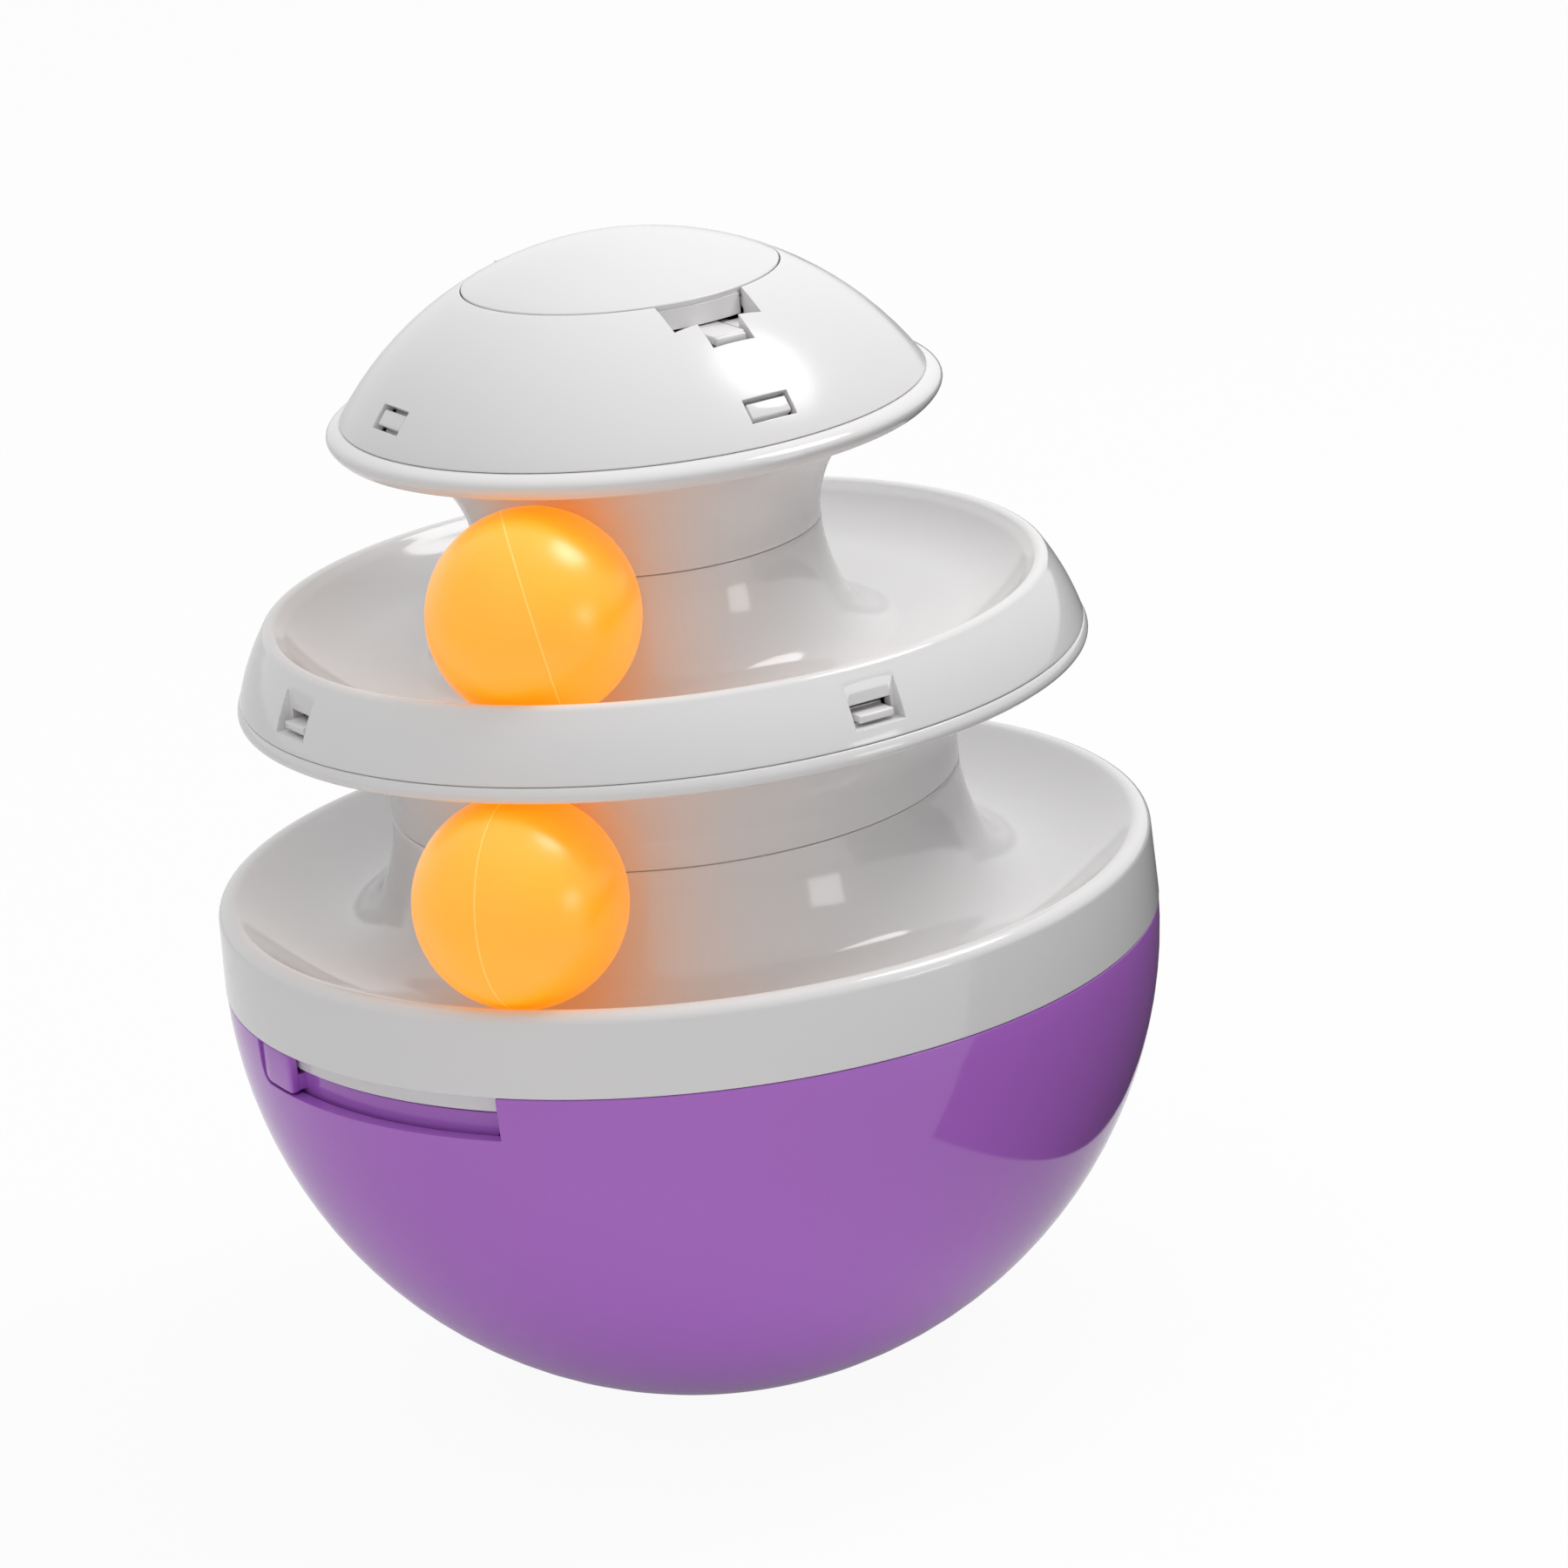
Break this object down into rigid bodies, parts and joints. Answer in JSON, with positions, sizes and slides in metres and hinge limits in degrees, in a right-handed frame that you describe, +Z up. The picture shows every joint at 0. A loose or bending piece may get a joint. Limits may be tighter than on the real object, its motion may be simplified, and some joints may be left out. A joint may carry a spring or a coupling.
{
  "type": "treat dispensing tumbler",
  "caption": "Self-righting pet treat tumbler: weighted round base with an adjustable outlet, ball tracks around hollow necks, and a treat dome with a hinged lid.",
  "frame": {"origin": "centre of the small flat foot under the base, on the tower axis", "axes": "+Z up the tower axis, -Y towards the lid latch and finger recess, +Y towards the lid hinge"},
  "size_m": [0.1818, 0.1818, 0.2277],
  "materials": {
    "white_plastic": "gloss moulded plastic",
    "purple_plastic": "gloss moulded plastic",
    "orange_plastic": "satin moulded plastic",
    "iron": "raw casting",
    "steel": "plain"
  },
  "bodies": {
    "tower": {"base_shell": "purple_plastic", "counterweight": "iron", "weight_cover": "purple_plastic", "weight_screw_1": "steel", "weight_screw_2": "steel", "weight_screw_3": "steel", "lower_track": "white_plastic", "upper_track_base": "white_plastic", "upper_track": "white_plastic", "dome_base": "white_plastic", "dome_shell": "white_plastic", "lid_hinge_pin": "steel"},
    "lid": {"lid": "white_plastic"},
    "lid_latch": {"lid_latch": "white_plastic"},
    "outlet_slider": {"outlet_slider": "purple_plastic"},
    "upper_ball": {"upper_ball": "orange_plastic"},
    "lower_ball": {"lower_ball": "orange_plastic"}
  },
  "joints": [
    {"name": "lid_hinge", "type": "hinge", "parent": "tower", "child": "lid", "pos_m": [0, 0.029, 0.21861], "axis": [-1, 0, 0], "range_deg": [0, 90]},
    {"name": "latch_flex", "type": "hinge", "parent": "lid", "child": "lid_latch", "pos_m": [0, -0.02935, 0.21442], "axis": [-1, 0, 0], "range_deg": [0, 6], "stiffness_Nm_per_rad": 0.05},
    {"name": "outlet_slide", "type": "hinge", "parent": "tower", "child": "outlet_slider", "pos_m": [0, 0, 0.08036], "axis": [0, 0, 1], "range_deg": [0, 34]},
    {"name": "upper_ball_orbit", "type": "hinge", "parent": "tower", "child": "upper_ball", "pos_m": [0, 0, 0.17042], "axis": [0, 0, 1], "continuous": true},
    {"name": "lower_ball_orbit", "type": "hinge", "parent": "tower", "child": "lower_ball", "pos_m": [0, 0, 0.12174], "axis": [0, 0, 1], "continuous": true}
  ]
}
